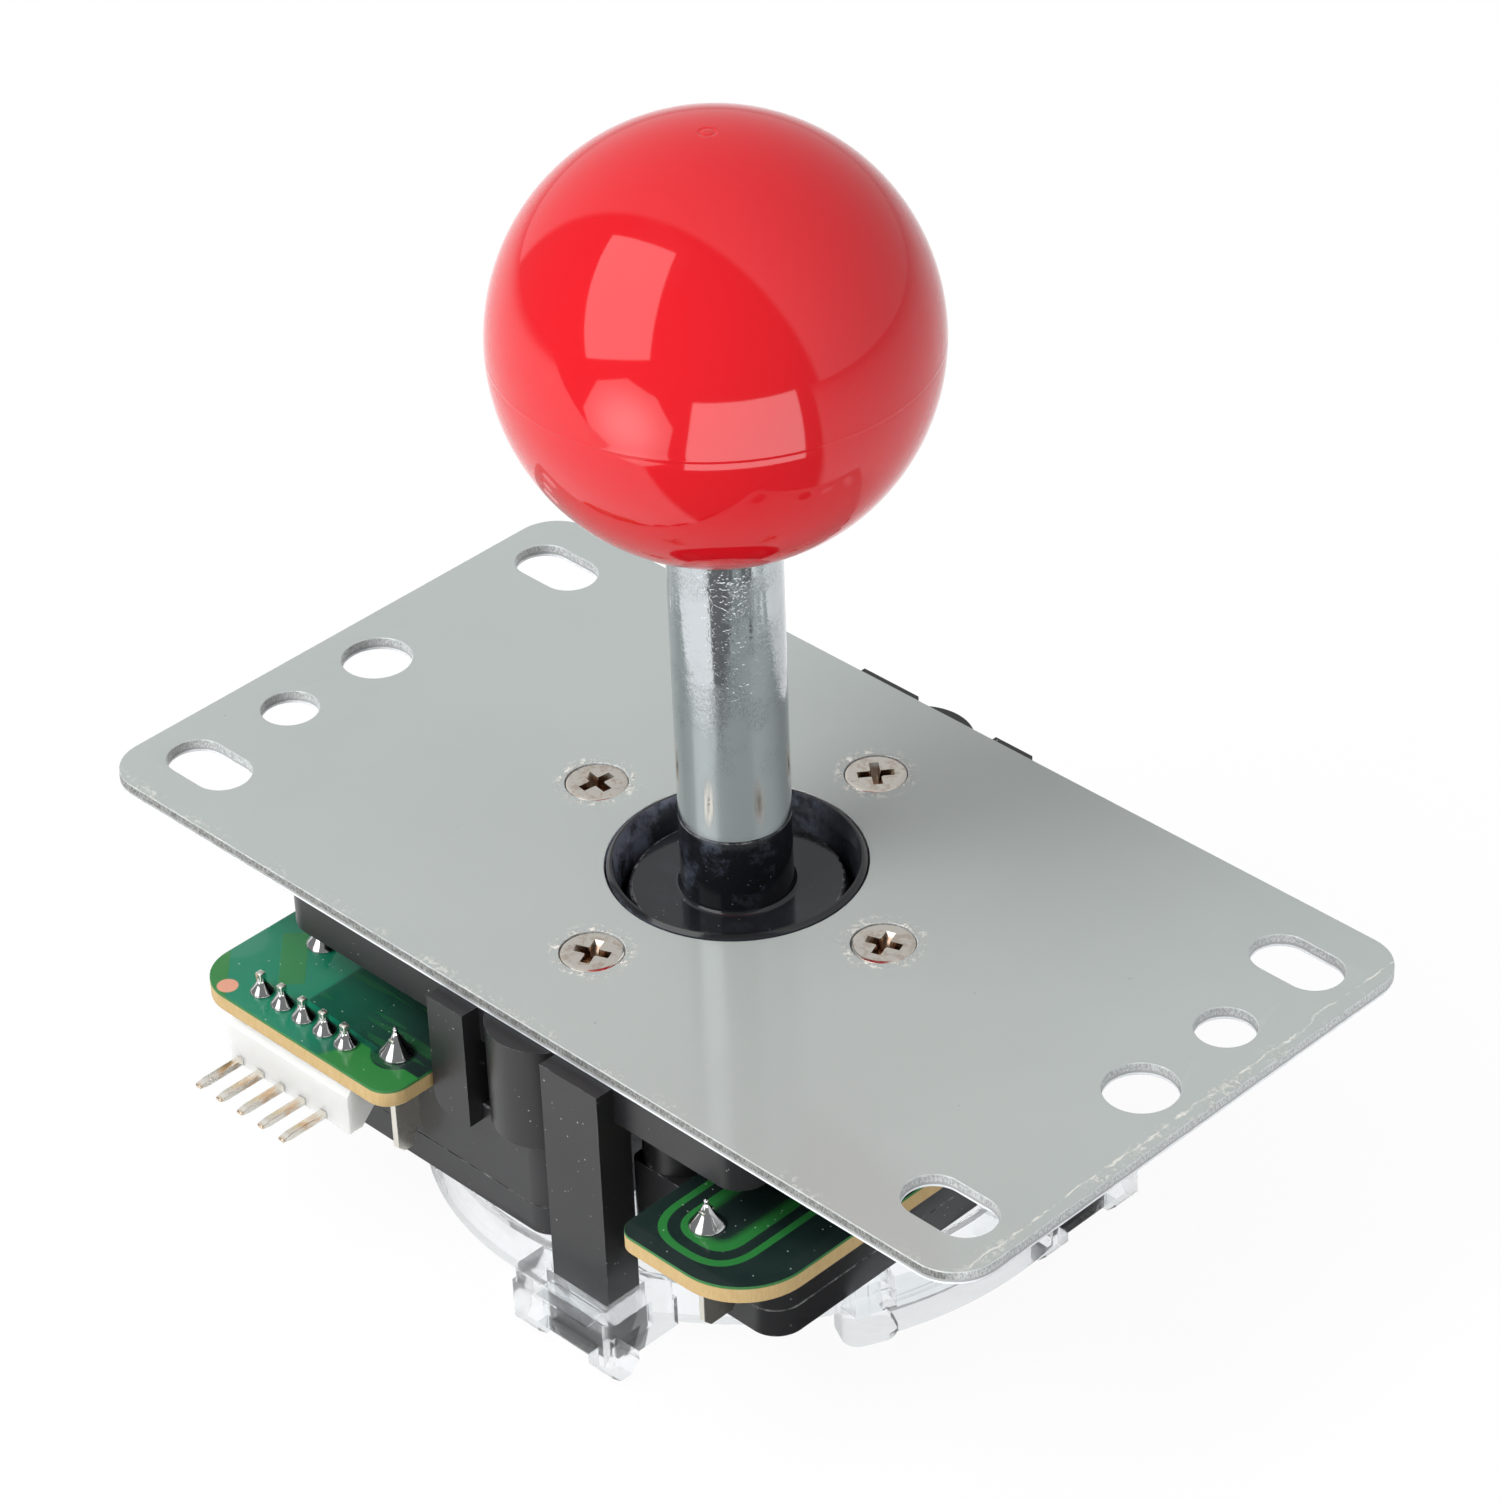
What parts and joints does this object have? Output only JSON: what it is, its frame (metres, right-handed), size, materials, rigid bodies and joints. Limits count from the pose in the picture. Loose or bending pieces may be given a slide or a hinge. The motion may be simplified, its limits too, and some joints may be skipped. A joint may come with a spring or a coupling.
{
  "type": "arcade joystick lever",
  "caption": "Ball-top arcade lever on a slotted steel plate: a spring-centred shaft in a ball socket works snap switches under a circuit board, held by a clear restrictor gate.",
  "frame": {"origin": "on the lever's axis, at the top face of the mounting plate", "axes": "+Z along the lever to its ball, +X along the plate's long side, -Y to the side with the pin header"},
  "size_m": [0.0974, 0.0689, 0.0943],
  "materials": {
    "ball_red": "glossy moulded plastic",
    "insert_brass": "turned brass",
    "shaft_chrome": "polished chrome plate with fine swirls",
    "pivot_black": "glossy moulded nylon",
    "plate_steel": "satin zinc-plated sheet",
    "screw_nickel": "nickel-plated steel",
    "housing_black": "satin moulded plastic",
    "washer_steel": "plated steel washer",
    "spring_steel": "drawn spring wire",
    "actuator_black": "moulded nylon",
    "clip_steel": "dark sprung steel",
    "board_green": "green solder mask over glass laminate with a tan edge",
    "solder_tin": "bright solder",
    "header_white": "natural white nylon",
    "pin_tinned": "tinned brass",
    "gate_clear": "clear polycarbonate",
    "switch_black": "satin moulded plastic",
    "plunger_brown": "moulded plastic",
    "blade_copper": "sprung copper alloy",
    "terminal_silver": "silver-plated brass"
  },
  "bodies": {
    "housing": {"mounting_plate": "plate_steel", "plate_screws": "screw_nickel", "main_body": "housing_black", "spring_seat": "washer_steel", "circuit_board": "board_green", "solder_joints": "solder_tin", "header_housing": "header_white", "header_pins": "pin_tinned", "gate_frame": "gate_clear", "gate_plate": "gate_clear", "switch_case_front": "switch_black", "switch_cover_front": "switch_black", "snap_blade_front": "blade_copper", "common_terminal_front": "terminal_silver", "open_terminal_front": "terminal_silver", "switch_case_right": "switch_black", "switch_cover_right": "switch_black", "snap_blade_right": "blade_copper", "common_terminal_right": "terminal_silver", "open_terminal_right": "terminal_silver", "switch_case_back": "switch_black", "switch_cover_back": "switch_black", "snap_blade_back": "blade_copper", "common_terminal_back": "terminal_silver", "open_terminal_back": "terminal_silver", "switch_case_left": "switch_black", "switch_cover_left": "switch_black", "snap_blade_left": "blade_copper", "common_terminal_left": "terminal_silver", "open_terminal_left": "terminal_silver"},
    "centring_spring": {"return_spring": "spring_steel"},
    "pivot_ball": {"pivot": "pivot_black"},
    "lever": {"shaft": "shaft_chrome", "ball_top": "ball_red", "ball_insert": "insert_brass", "actuator": "actuator_black", "e_clip": "clip_steel"},
    "plunger_front": {"switch_plunger_front": "plunger_brown"},
    "plunger_right": {"switch_plunger_right": "plunger_brown"},
    "plunger_back": {"switch_plunger_back": "plunger_brown"},
    "plunger_left": {"switch_plunger_left": "plunger_brown"}
  },
  "joints": [
    {"name": "tilt_front_back", "type": "hinge", "parent": "housing", "child": "centring_spring", "pos_m": [0, 0, -0.0058], "axis": [1, 0, 0], "range_deg": [-8, 8], "stiffness_Nm_per_rad": 1.5, "deforming": ["return_spring"]},
    {"name": "tilt_left_right", "type": "hinge", "parent": "centring_spring", "child": "pivot_ball", "pos_m": [0, 0, -0.0058], "axis": [0, 1, 0], "range_deg": [-8, 8], "stiffness_Nm_per_rad": 1.5, "deforming": ["return_spring"]},
    {"name": "lever_spin", "type": "hinge", "parent": "pivot_ball", "child": "lever", "pos_m": [0, 0, -0.0058], "axis": [0, 0, 1], "continuous": true},
    {"name": "press_front", "type": "slide", "parent": "housing", "child": "plunger_front", "axis": [0, -1, 0], "range_m": [0, 0.0012], "stiffness_N_per_m": 400, "deforming": ["snap_blade_front"]},
    {"name": "press_right", "type": "slide", "parent": "housing", "child": "plunger_right", "axis": [1, 0, 0], "range_m": [0, 0.0012], "stiffness_N_per_m": 400, "deforming": ["snap_blade_right"]},
    {"name": "press_back", "type": "slide", "parent": "housing", "child": "plunger_back", "axis": [0, 1, 0], "range_m": [0, 0.0012], "stiffness_N_per_m": 400, "deforming": ["snap_blade_back"]},
    {"name": "press_left", "type": "slide", "parent": "housing", "child": "plunger_left", "axis": [-1, 0, 0], "range_m": [0, 0.0012], "stiffness_N_per_m": 400, "deforming": ["snap_blade_left"]}
  ]
}
